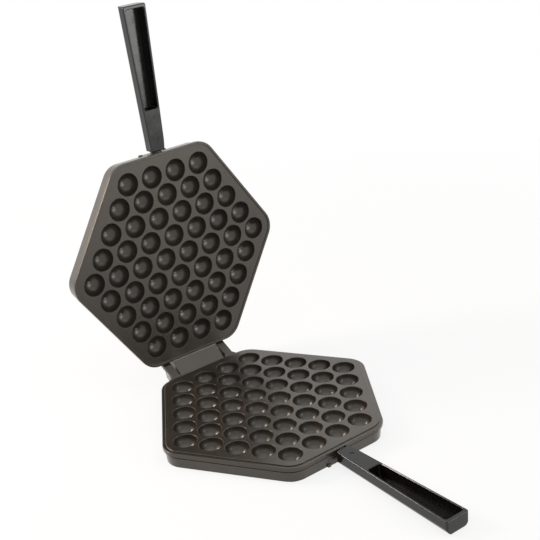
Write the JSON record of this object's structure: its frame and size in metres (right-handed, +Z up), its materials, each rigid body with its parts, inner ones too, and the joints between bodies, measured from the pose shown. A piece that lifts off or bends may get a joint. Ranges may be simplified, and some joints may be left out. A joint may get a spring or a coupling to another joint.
{
  "type": "egg waffle pan",
  "caption": "Hinged stovetop egg waffle pan: two cast hexagonal plates of round cups, each with a hollow moulded handle, stored open on its lid stop.",
  "frame": {"origin": "under the middle of the open pan's footprint, on the surface it stands on; the lower plate's centre is 36.2 mm behind it, towards +Y", "axes": "+Z up, +Y towards the hinge, the lower handle points to -Y, +X along the hinge pin"},
  "size_m": [0.2176, 0.3901, 0.3526],
  "materials": {
    "nonstick_casting": "dark non-stick coating, satin",
    "black_phenolic": "polished moulded phenolic",
    "plated_steel": "bright"
  },
  "bodies": {
    "base": {"lower_pan": "nonstick_casting", "lower_handle": "black_phenolic", "lower_handle_screw": "plated_steel", "hinge_pin": "plated_steel", "hinge_pin_ring": "plated_steel"},
    "lid": {"upper_pan": "nonstick_casting", "upper_handle": "black_phenolic", "upper_handle_screw": "plated_steel"}
  },
  "joints": [
    {"name": "lid_hinge", "type": "hinge", "parent": "base", "child": "lid", "pos_m": [0, 0.1467, 0.0127], "axis": [1, 0, 0], "range_deg": [0, 95]}
  ]
}
